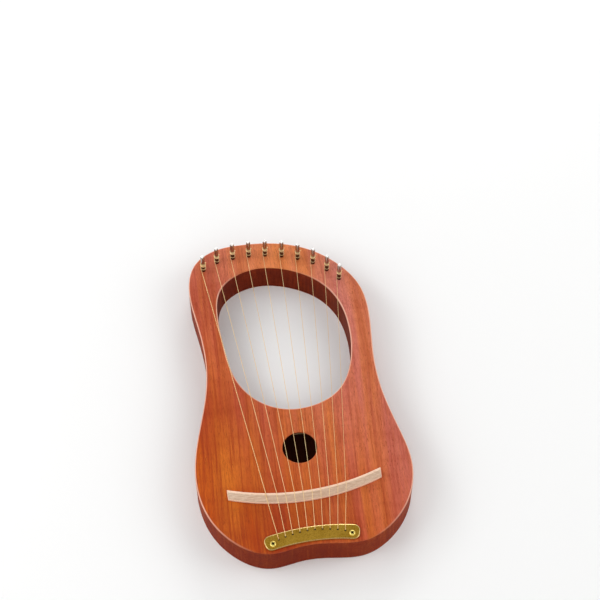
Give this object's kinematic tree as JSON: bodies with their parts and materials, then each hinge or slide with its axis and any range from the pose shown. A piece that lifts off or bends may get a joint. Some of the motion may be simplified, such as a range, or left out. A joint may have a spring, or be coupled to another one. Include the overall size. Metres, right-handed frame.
{
  "type": "lyre harp",
  "caption": "Small wooden lyre harp with a hollow body, hand opening, sound hole, curved bridge, curved tailpiece and turning pins for its metal strings.",
  "frame": {"origin": "middle of the footprint, on the back plate's outer face that the harp lies on", "axes": "+Z out of the front, +Y along the body from the tail towards the tuning pins, +X across the body from the bass side to the treble side"},
  "size_m": [0.2522, 0.4298, 0.073],
  "materials": {
    "mahogany": "satin lacquer",
    "spruce": "raw",
    "maple": "satin",
    "satin_brass": "satin",
    "bright_brass": "polished",
    "nickel": "nickel plated",
    "string_steel": "drawn wire",
    "wound_brass": "wound wire"
  },
  "bodies": {
    "harp": {"rim_frame": "mahogany", "soundboard": "mahogany", "back_plate": "mahogany", "upper_brace": "spruce", "bridge_brace": "spruce", "back_brace": "spruce", "bridge": "maple", "tailpiece": "satin_brass", "tailpiece_screw_left": "bright_brass", "tailpiece_screw_right": "bright_brass", "string_01": "wound_brass", "string_02": "string_steel", "string_03": "string_steel", "string_04": "string_steel", "string_05": "string_steel", "string_06": "string_steel", "string_07": "string_steel", "string_08": "string_steel", "string_09": "string_steel", "string_10": "string_steel", "ball_end_01": "satin_brass", "ball_end_02": "satin_brass", "ball_end_03": "satin_brass", "ball_end_04": "satin_brass", "ball_end_05": "satin_brass", "ball_end_06": "satin_brass", "ball_end_07": "satin_brass", "ball_end_08": "satin_brass", "ball_end_09": "satin_brass", "ball_end_10": "satin_brass"},
    "pin_01": {"tuning_pin_01": "nickel", "winding_01": "wound_brass"},
    "pin_02": {"tuning_pin_02": "nickel", "winding_02": "string_steel"},
    "pin_03": {"tuning_pin_03": "nickel", "winding_03": "string_steel"},
    "pin_04": {"tuning_pin_04": "nickel", "winding_04": "string_steel"},
    "pin_05": {"tuning_pin_05": "nickel", "winding_05": "string_steel"},
    "pin_06": {"tuning_pin_06": "nickel", "winding_06": "string_steel"},
    "pin_07": {"tuning_pin_07": "nickel", "winding_07": "string_steel"},
    "pin_08": {"tuning_pin_08": "nickel", "winding_08": "string_steel"},
    "pin_09": {"tuning_pin_09": "nickel", "winding_09": "string_steel"},
    "pin_10": {"tuning_pin_10": "nickel", "winding_10": "string_steel"}
  },
  "joints": [
    {"name": "pin_01_turn", "type": "hinge", "parent": "harp", "child": "pin_01", "pos_m": [-0.09136, 0.1804, 0.042], "axis": [0, 0, 1], "range_deg": [-90, 360]},
    {"name": "pin_02_turn", "type": "hinge", "parent": "harp", "child": "pin_02", "pos_m": [-0.07336, 0.19059, 0.042], "axis": [0, 0, 1], "range_deg": [-90, 360]},
    {"name": "pin_03_turn", "type": "hinge", "parent": "harp", "child": "pin_03", "pos_m": [-0.05296, 0.19459, 0.042], "axis": [0, 0, 1], "range_deg": [-90, 360]},
    {"name": "pin_04_turn", "type": "hinge", "parent": "harp", "child": "pin_04", "pos_m": [-0.03247, 0.19579, 0.042], "axis": [0, 0, 1], "range_deg": [-90, 360]},
    {"name": "pin_05_turn", "type": "hinge", "parent": "harp", "child": "pin_05", "pos_m": [-0.01177, 0.19469, 0.042], "axis": [0, 0, 1], "range_deg": [-90, 360]},
    {"name": "pin_06_turn", "type": "hinge", "parent": "harp", "child": "pin_06", "pos_m": [0.00903, 0.19079, 0.042], "axis": [0, 0, 1], "range_deg": [-90, 360]},
    {"name": "pin_07_turn", "type": "hinge", "parent": "harp", "child": "pin_07", "pos_m": [0.02863, 0.1846, 0.042], "axis": [0, 0, 1], "range_deg": [-90, 360]},
    {"name": "pin_08_turn", "type": "hinge", "parent": "harp", "child": "pin_08", "pos_m": [0.04702, 0.1754, 0.042], "axis": [0, 0, 1], "range_deg": [-90, 360]},
    {"name": "pin_09_turn", "type": "hinge", "parent": "harp", "child": "pin_09", "pos_m": [0.06302, 0.16261, 0.042], "axis": [0, 0, 1], "range_deg": [-90, 360]},
    {"name": "pin_10_turn", "type": "hinge", "parent": "harp", "child": "pin_10", "pos_m": [0.07652, 0.14742, 0.042], "axis": [0, 0, 1], "range_deg": [-90, 360]}
  ]
}
